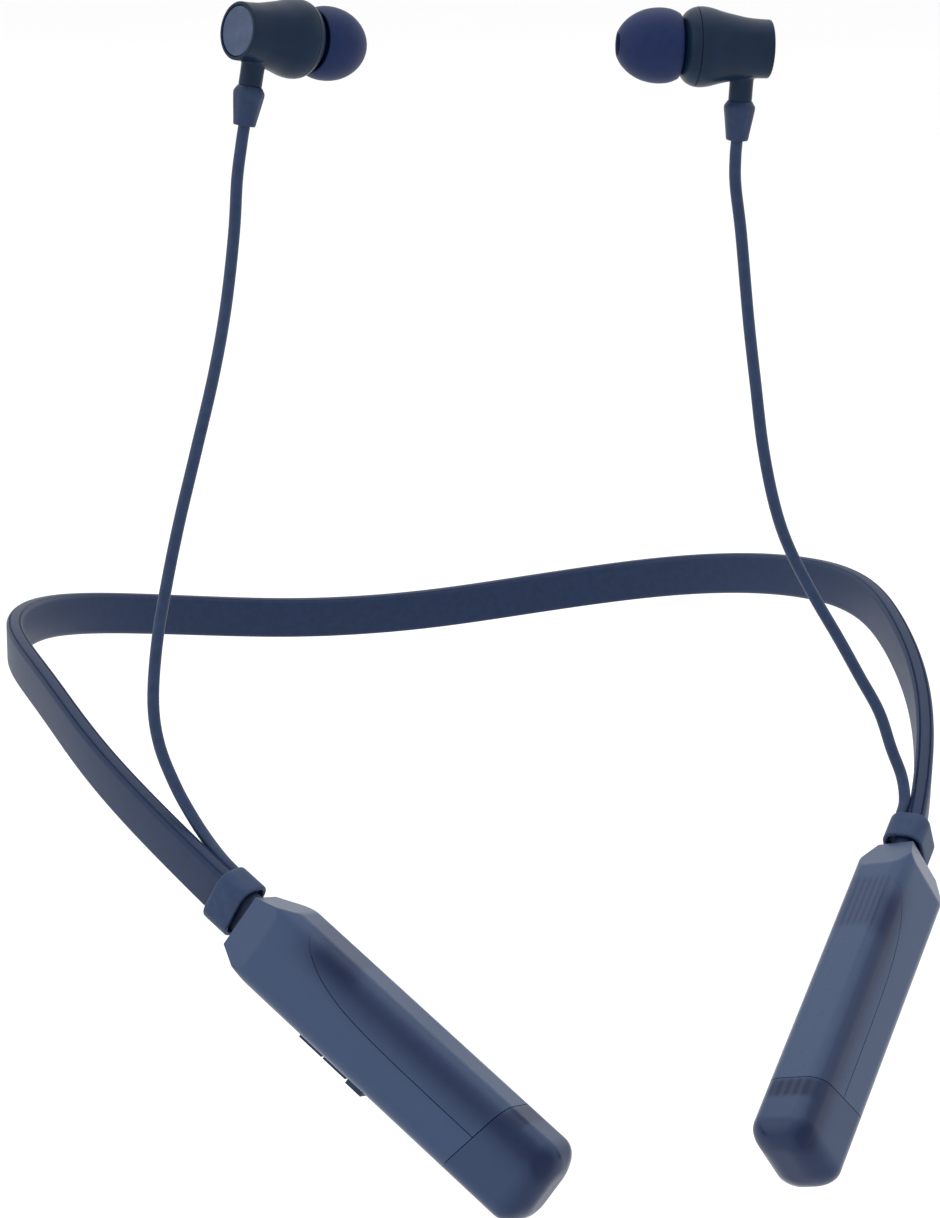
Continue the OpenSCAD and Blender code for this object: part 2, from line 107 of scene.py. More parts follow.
CORD_D = 2.0
CORD_OUT = Vector((-8.4, -2.6, 3.1))
ROUTE_RIGHT = [
    (59.2, -153.9, 12.6), (59.7, -150.8, 15.7), (58.6, -148.1, 19.9), (57.1, -145.3, 25.7),
    (54, -143.2, 31.6), (50.5, -141.6, 38), (45.8, -140, 46), (41.6, -138.8, 54), (38.9, -138, 61.4),
    (36.7, -136.9, 71.3), (35.5, -134.8, 82.2), (35, -131.3, 92.3), (34.5, -127.2, 105.7),
    (33.8, -125.3, 113.5),
]
ROUTE_LEFT = [
    (-59.2, -153.7, 12.1), (-60.8, -149.6, 13.9), (-62.6, -146.1, 16.7), (-64.7, -142.6, 20.9),
    (-66.7, -139.1, 26.9), (-67.2, -136.5, 33.5), (-66.1, -134.2, 42.5), (-64.1, -132.2, 51.6),
    (-61.4, -129.9, 61.8), (-57.8, -126.4, 72.9), (-53.8, -121.2, 84.1), (-50.5, -115, 94),
    (-48.2, -110.7, 105.4), (-47.2, -108.5, 113.8),
]
CORD_STEPS = 6

BUDS = {
    "right": (Vector((38.5, -125.5, 135.8)), (0.0, -2.0, 173.0)),
    "left": (Vector((-46.9, -108.1, 138.1)), (0.0, 11.0, 25.0)),
}
STEM_X = 4.2
RELIEF_END = -15.0
CORD_SEAT = -11.5

LATHE_SIDES = 96


def mm(v):
    return Vector(v) * 0.001


def turn_matrix(turn):
    """Rotation by roll, then pitch, then heading, in degrees."""
    roll, pitch, heading = (math.radians(a) for a in turn)
    level = Matrix.Rotation(heading, 3, "Z") @ Matrix.Rotation(pitch, 3, "Y")
    return level @ Matrix.Rotation(roll, 3, "X")


def turned(v, turn):
    return turn_matrix(turn) @ Vector(v)


def mirrored(v):
    return Vector((-v[0], v[1], v[2]))


def pod_point(x, y, z):
    return POD_START + turned((x, y, z), POD_TURN)


def bud_point(side, x, y, z):
    start, turn = BUDS[side]
    return start + turned((x, y, z), turn)


# ---------------------------------------------------------------- curves
def blend4(a, b, c, d, f):
    """Smooth step from b to c, with a and d as the neighbours."""
    return (2 * b + (c - a) * f + (2 * a - 5 * b + 4 * c - d) * f ** 2 + (3 * b - a - 3 * c + d) * f ** 3) / 2


def knot(k, i):
    if i < 0:
        return -k[-i]
    if i > len(k) - 1:
        return 2 * k[-1] - k[-2]
    return k[i]


def along(k, s):
    u = min(s / STRIP_HALF, 1) * (len(k) - 1)
    i = min(int(u), len(k) - 2)
    return blend4(knot(k, i - 1), knot(k, i), knot(k, i + 1), knot(k, i + 2), u - i)


def strip_turn(s):
    return (0.0, along(PITCH, s), along(HEADING, s))


def spine_points():
    points = [Vector((0, STRIP_T / 2, 0))]
    for i in range(int(STRIP_HALF)):
        points.append(points[-1] + turned((1, 0, 0), strip_turn(i + 0.5)))
    return points


SPINE = spine_points()


def strip_centre(s):
    i = min(int(s), int(STRIP_HALF))
    return SPINE[i] + turned((1, 0, 0), strip_turn(i)) * (s - i)


def strip_point(s, y, z):
    return strip_centre(s) + turned((0, y, z), strip_turn(s))


def smooth_route(points, steps):
    k = [Vector(p) for p in points]
    last = len(k) - 1
    out = []
    for i in range(last):
        for j in range(steps):
            out.append(blend4(k[max(i - 1, 0)], k[i], k[i + 1], k[min(i + 2, last)], j / steps))
    out.append(k[-1])
    return out


# ---------------------------------------------------------------- mesh helpers
def new_object(name, verts, faces, mirror=False, sharp=35.0):
    """Mesh object from millimetre points, mirrored for the left side, with edges over sharp degrees sharp."""
    points = [mm(mirrored(v) if mirror else v) for v in verts]
    mesh = bpy.data.meshes.new(name)
    mesh.from_pydata(points, [], faces)
    cleaner = bmesh.new()
    cleaner.from_mesh(mesh)
    bmesh.ops.remove_doubles(cleaner, verts=cleaner.verts, dist=2e-7)
    bmesh.ops.recalc_face_normals(cleaner, faces=cleaner.faces)
    cleaner.to_mesh(mesh)
    cleaner.free()
    obj = bpy.data.objects.new(name, mesh)
    bpy.context.scene.collection.objects.link(obj)
    shade(obj, sharp)
    return obj


def shade(obj, sharp):
    obj.data.shade_smooth()
    obj.data.set_sharp_from_angle(angle=math.radians(sharp))


def loft_faces(rings, count, closed=True):
    """Quads between rings of count points, as indices into one list."""
    wrap = count if closed else count - 1
    return [
        (i * count + j, i * count + (j + 1) % count, (i + 1) * count + (j + 1) % count, (i + 1) * count + j)
        for i in range(rings - 1)
        for j in range(wrap)
    ]


def loft(name, rings, caps=(True, True), mirror=False, sharp=35.0):
    count = len(rings[0])
    verts = [p for ring in rings for p in ring]
    faces = loft_faces(len(rings), count)
    if caps[0]:
        faces.append(tuple(range(count)))
    if caps[1]:
        faces.append(tuple(range((len(rings) - 1) * count, len(rings) * count)))
    return new_object(name, verts, faces, mirror, sharp)


def apply_modifiers(obj, sharp=35.0):
    graph = bpy.context.evaluated_depsgraph_get()
    made = bpy.data.meshes.new_from_object(obj.evaluated_get(graph))
    obj.modifiers.clear()
    old = obj.data
    obj.data = made
    bpy.data.meshes.remove(old)
    shade(obj, sharp)


def arc(cx, cr, radius, start, end, steps):
    """Points of a profile's arc, angles in degrees from +x towards +r."""
    return [
        (
            cx + radius * math.cos(math.radians(start + (end - start) * i / steps)),
            cr + radius * math.sin(math.radians(start + (end - start) * i / steps)),
        )
        for i in range(steps + 1)
    ]


def smooth_profile(points, steps=5):
    flat = smooth_route([(p[0], p[1], 0) for p in points], steps)
    return [(p.x, max(p.y, 0.0)) for p in flat]


def lathe(name, profile, place, sides=LATHE_SIDES, sharp=35.0, flute=None):
    """Profile of (x, r) turned about the X axis. place maps a local point into the row frame."""
    rings = []
    for x, r in profile:
        ring = []
        for j in range(sides):
            a = 2 * math.pi * j / sides
            rr = r * (flute(x, a) if flute else 1.0)
            ring.append(place(x, rr * math.cos(a), rr * math.sin(a)))
        rings.append(ring)
    return loft(name, rings, caps=(False, False), sharp=sharp)


# ---------------------------------------------------------------- materials
class Nodes:
    """A material's node tree, with the few helpers that every finish needs."""

    def __init__(self, name):
        self.material = bpy.data.materials.new(name)
        self.material.use_nodes = True
        self.tree = self.material.node_tree
        self.shader = self.tree.nodes["Principled BSDF"]
        self.coords = self.add("ShaderNodeTexCoord").outputs["Object"]

    def add(self, kind, **values):
        node = self.tree.nodes.new(kind)
        for key, value in values.items():
            setattr(node, key, value)
        return node

    def link(self, a, b):
        self.tree.links.new(a, b)

    def noise(self, scale, detail=3.0, stretch=None):
        node = self.add("ShaderNodeTexNoise")
        node.inputs["Scale"].default_value = scale
        node.inputs["Detail"].default_value = detail
        vector = self.coords
        if stretch:
            mapping = self.add("ShaderNodeMapping")
            mapping.inputs["Scale"].default_value = stretch
            self.link(self.coords, mapping.inputs["Vector"])
            vector = mapping.outputs["Vector"]
        self.link(vector, node.inputs["Vector"])
        return node.outputs["Fac"]

    def ramp(self, value, low, high, start=0.35, end=0.65):
        node = self.add("ShaderNodeValToRGB")
        node.color_ramp.elements[0].position = start
        node.color_ramp.elements[0].color = (*low, 1)
        node.color_ramp.elements[1].position = end
        node.color_ramp.elements[1].color = (*high, 1)
        self.link(value, node.inputs["Fac"])
        return node.outputs["Color"]

    def span(self, value, low, high):
        node = self.add("ShaderNodeMapRange")
        node.inputs["To Min"].default_value = low
        node.inputs["To Max"].default_value = high
        self.link(value, node.inputs["Value"])
        return node.outputs["Result"]

    def bump(self, height, strength, distance):
        node = self.add("ShaderNodeBump")
        node.inputs["Strength"].default_value = strength
        node.inputs["Distance"].default_value = distance
        self.link(height, node.inputs["Height"])
        self.link(node.outputs["Normal"], self.shader.inputs["Normal"])

    def set(self, **values):
        for key, value in values.items():
            self.shader.inputs[key.replace("_", " ")].default_value = value


def finish(name, colour, rough, grain, bump=0.15, depth=2e-5, vary=0.12, stretch=None, **settings):
    """A moulded or metal finish: mottled colour, uneven roughness and a fine grain."""
    n = Nodes(name)
    cloud = n.noise(grain * 0.08, 4.0)
    fine = n.noise(grain, 2.0, stretch)
    low = tuple(c * (1 - vary) for c in colour)
    high = tuple(c * (1 + vary) for c in colour)
    n.link(n.ramp(cloud, low, high), n.shader.inputs["Base Color"])
    n.link(n.span(cloud, rough * 0.88, rough * 1.12), n.shader.inputs["Roughness"])
    n.bump(fine, bump, depth)
    n.set(**settings)
    return n.material


def toned_finish(name, colour, dark, rough, grain, bump, depth, **settings):
    """A finish whose colour goes from dark to colour by the mesh's tone attribute, mottled a little."""
    n = Nodes(name)
    tone = n.add("ShaderNodeAttribute", attribute_name="tone").outputs["Fac"]
    cloud = n.noise(grain * 0.08, 4.0)
    wobble = n.add("ShaderNodeMath", operation="MULTIPLY_ADD")
    n.link(cloud, wobble.inputs[0])
    wobble.inputs[1].default_value = 0.12
    wobble.inputs[2].default_value = -0.06
    total = n.add("ShaderNodeMath", operation="ADD")
    n.link(tone, total.inputs[0])
    n.link(wobble.outputs[0], total.inputs[1])
    n.link(n.ramp(total.outputs[0], dark, colour, 0.0, 1.0), n.shader.inputs["Base Color"])
    n.link(n.span(cloud, rough * 0.9, rough * 1.1), n.shader.inputs["Roughness"])
    n.bump(n.noise(grain, 2.0), bump, depth)
    n.set(**settings)
    return n.material


NAVY = (0.008, 0.021, 0.062)
SLATE = (0.036, 0.062, 0.128)
INK = (0.002, 0.009, 0.045)

MATERIALS = {
    "silicone": finish("strip_silicone", NAVY, 0.5, 9000, 0.2, 2e-5, Specular_IOR_Level=0.22),
    "collar": finish("collar_rubber", (0.018, 0.038, 0.094), 0.5, 9000, 0.2, 2e-5, Specular_IOR_Level=0.25),
    "neck": finish("neck_plastic", (0.006, 0.014, 0.042), 0.5, 7000, 0.15, Specular_IOR_Level=0.25),
    "cover": toned_finish("pod_cover_tint", SLATE, INK, 0.28, 6000, 0.05, 1e-5, Specular_IOR_Level=0.2,
                          Coat_Weight=0.05, Coat_Roughness=0.1),
    "shell": toned_finish("pod_shell_tint", SLATE, INK, 0.3, 6000, 0.06, 1e-5, Specular_IOR_Level=0.2,
                          Coat_Weight=0.05, Coat_Roughness=0.14),
    "core": finish("core_plastic", (0.012, 0.024, 0.065), 0.5, 2500, 0.05, Specular_IOR_Level=0.25),
    "button": finish("button_rubber", (0.014, 0.028, 0.068), 0.55, 8000, 0.2, Specular_IOR_Level=0.25),
    "cord": finish("cord_jacket", (0.013, 0.03, 0.078), 0.42, 9000, 0.15, 2e-5, Specular_IOR_Level=0.25),
    "relief": finish("relief_rubber", (0.014, 0.03, 0.076), 0.5, 9000, 0.2, 2e-5, Specular_IOR_Level=0.25),
    "bud": finish("bud_housing", (0.004, 0.015, 0.038), 0.36, 3000, 0.03, 1e-5, Specular_IOR_Level=0.15),
    "plate": finish("bud_back_plate", (0.052, 0.076, 0.135), 0.56, 7000, 0.1, 1e-5, Specular_IOR_Level=0.2),
    "tip": finish("tip_silicone", (0.004, 0.014, 0.068), 0.5, 8000, 0.15, 2e-5, Specular_IOR_Level=0.2,
                  Subsurface_Weight=0.08, Subsurface_Scale=0.002),
    "metal": finish("brushed_metal", (0.45, 0.46, 0.5), 0.3, 5000, 0.2, 1e-5, stretch=(1, 12, 12),
                    Metallic=1.0),
    "gauze": finish("mesh_steel", (0.16, 0.17, 0.19), 0.45, 16000, 0.6, 5e-5, Metallic=0.8),
    "board": finish("board_laminate", (0.03, 0.12, 0.07), 0.45, 5000, 0.15),
    "cell": finish("cell_pouch", (0.5, 0.52, 0.55), 0.35, 3000, 0.3, 3e-5, Metallic=0.7),
    "light": finish("light_window", (0.75, 0.78, 0.85), 0.2, 4000, 0.05, 1e-5),
}


def dress(obj, key):
    obj.data.materials.clear()
    obj.data.materials.append(MATERIALS[key])


def settle(obj, key, body, slot, *nodes):
    """Gives a new piece its finish and body, and hides the CAD nodes that it stands for. The slot argument is
    not used.
    """
    dress(obj, key)
    if body:
        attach(obj, body)
    if nodes:
        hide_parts(*nodes)
    return obj


# ---------------------------------------------------------------- camera
CAMERA_AT = (-147.89, -634.60, 213.69)
CAMERA_RIGHT = (0.9683, -0.2494, 0.0151)
CAMERA_BACK = (-0.2391, -0.9074, 0.3455)
LENS = 96.02
SHIFT_X = 0.01603
SHIFT_Y = 0.1032


def add_camera():
    data = bpy.data.cameras.new("camera")
    data.lens = LENS
    data.sensor_width = 36.0
    data.shift_x = SHIFT_X
    data.shift_y = SHIFT_Y
    data.clip_start = 0.01
    data.clip_end = 50.0
    camera = bpy.data.objects.new("camera", data)
    back = Vector(CAMERA_BACK).normalized()
    right = (Vector(CAMERA_RIGHT) - back * Vector(CAMERA_RIGHT).dot(back)).normalized()
    rotation = Matrix((right, back.cross(right), back)).transposed()
    camera.matrix_world = Matrix.Translation(mm(CAMERA_AT)) @ rotation.to_4x4()
    bpy.context.scene.collection.objects.link(camera)
    bpy.context.scene.camera = camera


add_camera()


# ---------------------------------------------------------------- cords
def add_cord(side):
    mirror = side == "left"
    exits = [pod_point(CORD_OUT.x - back, CORD_OUT.y, CORD_OUT.z) for back in (0, 1.2, 3)]
    if mirror:
        exits = [mirrored(p) for p in exits]
    route = ROUTE_LEFT if mirror else ROUTE_RIGHT
    seats = [bud_point(side, STEM_X, 0, z) for z in (RELIEF_END - 3, RELIEF_END, CORD_SEAT)]
    points = smooth_route([*exits, *route, *seats], CORD_STEPS)
    curve = bpy.data.curves.new("cord_" + side + "_jacket", "CURVE")
    curve.dimensions = "3D"
    spline = curve.splines.new("POLY")
    spline.points.add(len(points) - 1)
    for item, p in zip(spline.points, points):
        item.co = (*mm(p), 1)
    curve.bevel_depth = mm((CORD_D / 2, 0, 0)).x
    curve.bevel_resolution = 6
    curve.use_fill_caps = True
    obj = bpy.data.objects.new("cord_" + side + "_jacket", curve)
    bpy.context.scene.collection.objects.link(obj)
    settle(obj, "cord", "arm_" + side, "cord_jacket", "cord_" + side)
    length = sum((b - a).length for a, b in zip(points, points[1:])) * 0.001
    mm(points[0])


for side in ("left", "right"):
    add_cord(side)


# ---------------------------------------------------------------- neck strip
STRIP_CORNER = 1.0
GROOVE_AT = 0.9
GROOVE_HALF = 0.16
GROOVE_DEEP = 0.34


def strip_edge():
    """Top edge of the strip's section, outer face to middle: rounded corner, fine groove, crown."""
    a, b, r = STRIP_T / 2, STRIP_H / 2, STRIP_CORNER
    corner = [
        (a - r + r * math.cos(math.radians(t)), b - r + r * math.sin(math.radians(t)))
        for t in (0, 12, 24, 36, 48, 57)
    ]
    groove = [
        (GROOVE_AT + GROOVE_HALF * 0.5, b - GROOVE_DEEP * 0.8),
        (GROOVE_AT, b - GROOVE_DEEP),
        (GROOVE_AT - GROOVE_HALF * 0.6, b - GROOVE_DEEP * 0.7),
        (GROOVE_AT - GROOVE_HALF, b - 0.1),
    ]
    return corner + groove + [(0.6, b - 0.03), (0.3, b), (0.0, b)]


def strip_section():
    top = strip_edge()
    inner_top = [(-y, z) for y, z in reversed(top[:-1])]
    upper = top + inner_top
    lower = [(y, -z) for y, z in reversed(upper)]
    return upper + lower


def add_strip(side):
    section = strip_section()
    stations = [i * 1.25 for i in range(int(STRIP_HALF / 1.25) + 1)] + [STRIP_HALF + STRIP_TAIL]
    rings = [[strip_point(s, y, z) for y, z in section] for s in stations]
    mirror = side == "left"
    obj = loft("neck_strip_" + side, rings, mirror=mirror)
    start, end = (strip_centre(HINGE_S + d) for d in (-FLEX_REACH, FLEX_REACH))
    if mirror:
        start, end = mirrored(start), mirrored(end)
    nodes = ["strip_" + side, "wire_" + side, "flex_socket_" + side, "flex_knuckle_" + side]
    if mirror:
        nodes += ["strip_back", "wire_back"]
    settle(obj, "silicone", None, "strip_silicone", *nodes)
    mm(start)
    mm(end)
    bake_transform(obj)


for side in ("left", "right"):
    add_strip(side)


# ---------------------------------------------------------------- pods
FACET_SOFT = 0.2


def rounded_ring(u, half_t, half_h, r):
    """Point (y, z) of a rounded rectangle.

    u runs from 0 to 8: top, corner, outer face, corner, bottom, corner, inner face, corner.
    """
    u = u % 8
    part = int(u)
    f = u - part
    ft, fh = half_t - r, half_h - r
    corner_angle = math.radians(90 * (1 - f) - 90 * (part // 2))
    dy, dz = math.cos(corner_angle), math.sin(corner_angle)
    if part == 0:
        return (-ft + 2 * ft * f, half_h)
    if part == 1:
        return (ft + r * dy, fh + r * dz)
    if part == 2:
        return (half_t, fh - 2 * fh * f)
    if part == 3:
        return (ft + r * dy, -fh + r * dz)
    if part == 4:
        return (ft - 2 * ft * f, -half_h)
    if part == 5:
        return (-ft + r * dy, -fh + r * dz)
    if part == 6:
        return (-half_t, -fh + 2 * fh * f)
    return (-ft + r * dy, fh + r * dz)


def tip_inset(x):
    """How far the section has drawn in at x on the rounded far end."""
    over = x - POD_TIP + POD_END
    if over <= 0:
        return 0.0
    return POD_END - math.sqrt(max(POD_END ** 2 - over ** 2, 0))


def pod_halves(x):
    """Half thickness, half height and corner radius of the pod's section at x, without the neck's facets."""
    inset = tip_inset(x)
    half_t, half_h = POD_T / 2 - inset, POD_H / 2 - inset
    return half_t, half_h, min(POD_CORNER, half_t * 0.9)


def facet(value, neck, full, shoulder, x):
    """value cut off by the flat facet that runs from the neck face out to full size at the shoulder."""
    limit = neck + (full - neck) * (x - POD_FACE) / (shoulder - POD_FACE)
    if value < limit - FACET_SOFT:
        return value
    if value > limit + FACET_SOFT:
        return limit
    return value - (value - limit + FACET_SOFT) ** 2 / (4 * FACET_SOFT)


def pod_surface(x, u):
    y, z = rounded_ring(u, *pod_halves(x))
    if x < POD_SHOULDER_Y[0] + 1:
        y = facet(y, POD_NECK_Y[1], POD_T / 2, POD_SHOULDER_Y[1], x)
        y = -facet(-y, -POD_NECK_Y[0], POD_T / 2, POD_SHOULDER_Y[0], x)
        z = facet(z, POD_NECK_Z[1], POD_H / 2, POD_SHOULDER_Z[1], x)
        z = -facet(-z, -POD_NECK_Z[0], POD_H / 2, POD_SHOULDER_Z[0], x)
    return (x, y, z)


SEAM_GAP = 0.14
COVER_START = 8.2
COVER_INNER = 7.4
CAP_MIDDLE = 50.0
CAP_SLANT = 0.2


def seam_height(x):
    """Height on the outer face at which the cover meets the base: it falls in a curve, then runs level."""
    return 0.4 + 6.6 * math.exp(-(x - COVER_START) / 6.0)


def seam_u(x):
    """The same seam as a place on the section's ring."""
    _, half_h, r = pod_halves(x)
    flat = half_h - r
    z = seam_height(x)
    if z <= flat:
        return 2 + (1 - z / flat) / 2
    return 2 - math.degrees(math.asin(min((z - flat) / r, 1))) / 90


def cap_x(u):
    """Where the end cap starts on the ring at u."""
    half_t, half_h, r = pod_halves(CAP_MIDDLE)
    z = rounded_ring(u, half_t, half_h, r)[1]
    return CAP_MIDDLE + CAP_SLANT * z


def gap_u(gap):
    """A gap in millimetres as a step of u on the outer face."""
    return gap / (POD_H - 2 * POD_CORNER)


def lines(start, end, steps):
    return [start + (end - start) * i / steps for i in range(steps + 1)]


def thicken(obj, wall):
    solid = obj.modifiers.new("wall", "SOLIDIFY")
    solid.thickness = wall * 0.001
    solid.offset = -1.0
    solid.use_even_offset = True


def tone_mesh(obj, tone_of):
    """Stores tone_of(vertex in millimetres) on each vertex."""
    values = [tone_of(v.co * 1000) for v in obj.data.vertices]
    attribute = obj.data.attributes.new("tone", "FLOAT", "POINT")
    attribute.data.foreach_set("value", values)


def pod_local(p, mirror):
    q = mirrored(p) if mirror else Vector(p)
    return turn_matrix(POD_TURN).transposed() @ (q - POD_START)


def hump(value, middle, width):
    return math.exp(-((value - middle) / width) ** 2)


def step_up(value, middle, width):
    return (1 + math.tanh((value - middle) / (2 * width))) / 2


def inside(value, low, high, width):
    return step_up(value, low, width) * (1 - step_up(value, high, width))


def pod_tone(mirror):
    """Tone of the shell: darker over the housing's edge, its ribs, the cap's block and the tip."""
    def tone(p):
        x, y, z = pod_local(p, mirror)
        top = step_up(z, 4.6, 0.5)
        edge = hump(y - POD_T / 2, -0.5, 1.6) * hump(z - POD_H / 2, -2.8, 2.4) * step_up(x, 9, 1.6)
        wedge = inside(x, 11, 20, 0.7) * hump(y, 4.4, 1.5) * top
        panel = inside(x, 9, 50, 0.5) * step_up(y, 4.6, 0.3) * inside(z, seam_height(x), 5.5, 0.3)
        ribs = inside(x, 7.5, 18.5, 0.25) * inside(y, -3.6, 3.4, 0.15) * top
        stripes = 0.5 + 0.5 * math.cos(2 * math.pi * y / 1.15)
        block = inside(x, 51.9, 55.2, 0.2) * inside(y, -3.4, 4.4, 0.2) * top
        bars = 0.5 + 0.5 * math.cos(2 * math.pi * y / 1.6)
        cap = step_up(x - CAP_SLANT * z, CAP_MIDDLE, 0.05)
        tip = step_up(x, 60.8, 0.5)
        dark = 0.7 * edge + 0.45 * wedge + 0.12 * panel + ribs * (0.15 + 0.4 * stripes)
        dark += block * (0.35 + 0.45 * bars) + 0.26 * cap + 0.4 * tip
        return min(max(0.97 - dark, 0.0), 1.0)
    return tone


def cut(obj, cutters):
    for cutter in cutters:
        boolean = obj.modifiers.new("window", "BOOLEAN")
        boolean.operation = "DIFFERENCE"
        boolean.solver = "EXACT"
        boolean.object = cutter


def window(name, x0, x1, y0, y1, r, mirror):
    """A round-cornered cutter through the pod's lower wall."""
    rings = []
    for z in (-POD_H / 2 - 1, -POD_H / 2 + POD_WALL + 0.6):
        ring = []
        corners = ((x1 - r, y1 - r), (x0 + r, y1 - r), (x0 + r, y0 + r), (x1 - r, y0 + r))
        for quarter, (cx, cy) in enumerate(corners):
            start = 90 * quarter
            for x, y in arc(cx, cy, r, start, start + 90, 5):
                ring.append(pod_point(x, y, z))
        rings.append(ring)
    return loft(name, rings, mirror=mirror)


BUTTONS = {"button_volume_up": (18.7, 5.0), "button_volume_down": (24.1, 5.0), "button_power": (28.7, 3.4)}
BUTTON_Y = 0.6
BUTTON_W = 3.8
BUTTON_GAP = 0.15
BUTTON_CORNER = 0.3
USB_X = 42.0
USB_W = 9.0
USB_T = 3.3
LIGHT_X = 40.0
MIC_X = 44.0


def pod_windows(side):
    mirror = side == "left"
    if not mirror:
        half = USB_W / 2
        return [window("usb_cutter", USB_X - half, USB_X + half, -USB_T / 2, USB_T / 2, 1.6, mirror)]
    cutters = []
    for name, (x, length) in BUTTONS.items():
        reach = length / 2 + BUTTON_GAP
        wide = BUTTON_W / 2 + BUTTON_GAP
        cutters.append(window(name + "_cutter", x - reach, x + reach, BUTTON_Y - wide, BUTTON_Y + wide,
                              BUTTON_CORNER, mirror))
    cutters.append(window("light_cutter", LIGHT_X - 0.7, LIGHT_X + 0.7, 0.3, 1.7, 0.69, mirror))
    cutters.append(window("mic_cutter", MIC_X - 0.5, MIC_X + 0.5, 0.5, 1.5, 0.49, mirror))
    return cutters


def shell_piece(name, side, verts, faces, key, slot, nodes, cutters=()):
    mirror = side == "left"
    obj = new_object(name, [pod_point(*p) for p in verts], faces, mirror)
    thicken(obj, POD_WALL)
    cut(obj, cutters)
    apply_modifiers(obj)
    tone_mesh(obj, pod_tone(mirror))
    return settle(obj, key, "arm_" + side, slot, *nodes)


def add_pod(side):
    cover_columns = 96
    base_columns = 90
    rows = 150
    gap = SEAM_GAP / 2
    du = gap_u(gap)

    # Cover: from the inner top edge to the seam on the outer face.
    verts = []
    for i in range(rows + 1):
        for j in range(cover_columns + 1):
            w = j / cover_columns
            start = COVER_INNER - 8 + du
            x_end = cap_x(start + w * (seam_u(CAP_MIDDLE) - start)) - gap
            x = COVER_START + i / rows * (x_end - COVER_START)
            verts.append(pod_surface(x, start + w * (seam_u(x) - du - start)))
    faces = loft_faces(rows + 1, cover_columns + 1, closed=False)
    shell_piece("pod_cover_" + side + "_shell", side, verts, faces, "cover", "cover_gloss",
                ["pod_cover_" + side])

    # Base: the whole ring near the neck, and the rest of it beside the cover.
    verts = []
    faces = []
    seam0 = seam_u(COVER_START)
    start0 = COVER_INNER - 8
    ring_u = lines(seam0, start0 + 8, base_columns)[:-1] + lines(start0, seam0, cover_columns)[:-1]
    count = len(ring_u)
    middle_y, middle_z = sum(POD_NECK_Y) / 2, sum(POD_NECK_Z) / 2
    face_ring = [pod_surface(POD_FACE, u) for u in ring_u]
    for shrink in (0.3, 0.6, 0.9, 0.97):
        for _, y, z in face_ring:
            verts.append((POD_FACE, middle_y + shrink * (y - middle_y), middle_z + shrink * (z - middle_z)))
    neck_x = lines(POD_FACE, 5.2, 43) + [6.0, 7.0, COVER_START]
    for x in neck_x:
        verts += [pod_surface(x, u) for u in ring_u]
    neck_rings = 4 + len(neck_x)
    faces += loft_faces(neck_rings, count)
    last = (neck_rings - 1) * count
    previous = [last + j for j in range(base_columns + 1)]
    for i in range(1, rows + 1):
        row = []
        for j in range(base_columns + 1):
            w = j / base_columns
            end = COVER_INNER - du
            first = seam_u(CAP_MIDDLE) + du
            x_end = cap_x(first + w * (end - first)) - gap
            x = COVER_START + i / rows * (x_end - COVER_START)
            fade = min(i / 2, 1)
            u0 = seam_u(x) + du * fade
            u1 = COVER_INNER - du * fade
            row.append(len(verts))
            verts.append(pod_surface(x, u0 + w * (u1 - u0)))
        for j in range(base_columns):
            faces.append((previous[j], previous[j + 1], row[j + 1], row[j]))
        previous = row
    shell_piece("pod_base_" + side + "_shell", side, verts, faces, "shell", "base_plastic",
                ["pod_base_" + side], pod_windows(side))

    # End cap: from its slanted seam round the tip.
    columns = 192
    ring_u = [8 * j / columns for j in range(columns)]
    verts = []
    front = 28
    for i in range(front + 1):
        for u in ring_u:
            x = cap_x(u) + gap
            verts.append(pod_surface(x + (POD_TIP - POD_END - x) * i / front, u))
    curve_steps = 12
    for i in range(1, curve_steps + 1):
        x = POD_TIP - POD_END + POD_END * math.sin(math.radians(90 * i / curve_steps))
        verts += [pod_surface(x, u) for u in ring_u]
    half_t, half_h, r = pod_halves(POD_TIP)
    for shrink in (0.75, 0.5, 0.25):
        for u in ring_u:
            y, z = rounded_ring(u, half_t, half_h, r)
            verts.append((POD_TIP, y * shrink, z * shrink))
    rings = front + 1 + curve_steps + 3
    faces = loft_faces(rings, columns)
    faces.append(tuple(range((rings - 1) * columns, rings * columns)))
    shell_piece("end_cap_" + side + "_shell", side, verts, faces, "shell", "cap_gloss",
                ["end_cap_" + side])


for side in ("left", "right"):
    add_pod(side)

for cutter in [o for o in bpy.data.objects if o.name.endswith("_cutter")]:
    bpy.data.objects.remove(cutter)


# ---------------------------------------------------------------- collars
COLLAR_H = 9.8
COLLAR_T = 7.0
COLLAR_R = 2.5
COLLAR_FRONT = -5.2
COLLAR_BACK = -10.8
COLLAR_FLOOR = -6.8
COLLAR_LIP = 0.7
COLLAR_AT = (-1.5, -0.2)
COLLAR_ROLL = -16.0
COLLAR_COLUMNS = 96


def collar_ring(x, inset):
    """Section of the collar at x, rolled part of the way from the pod to the strip."""
    roll = Matrix.Rotation(math.radians(COLLAR_ROLL), 3, "X")
    ring = []
    for j in range(COLLAR_COLUMNS):
        y, z = rounded_ring(8 * j / COLLAR_COLUMNS, COLLAR_T / 2 - inset, COLLAR_H / 2 - inset,
                            max(COLLAR_R - inset, 0.3))
        turned_point = roll @ Vector((0, y, z))
        ring.append(pod_point(x, COLLAR_AT[0] + turned_point.y, COLLAR_AT[1] + turned_point.z))
    return ring


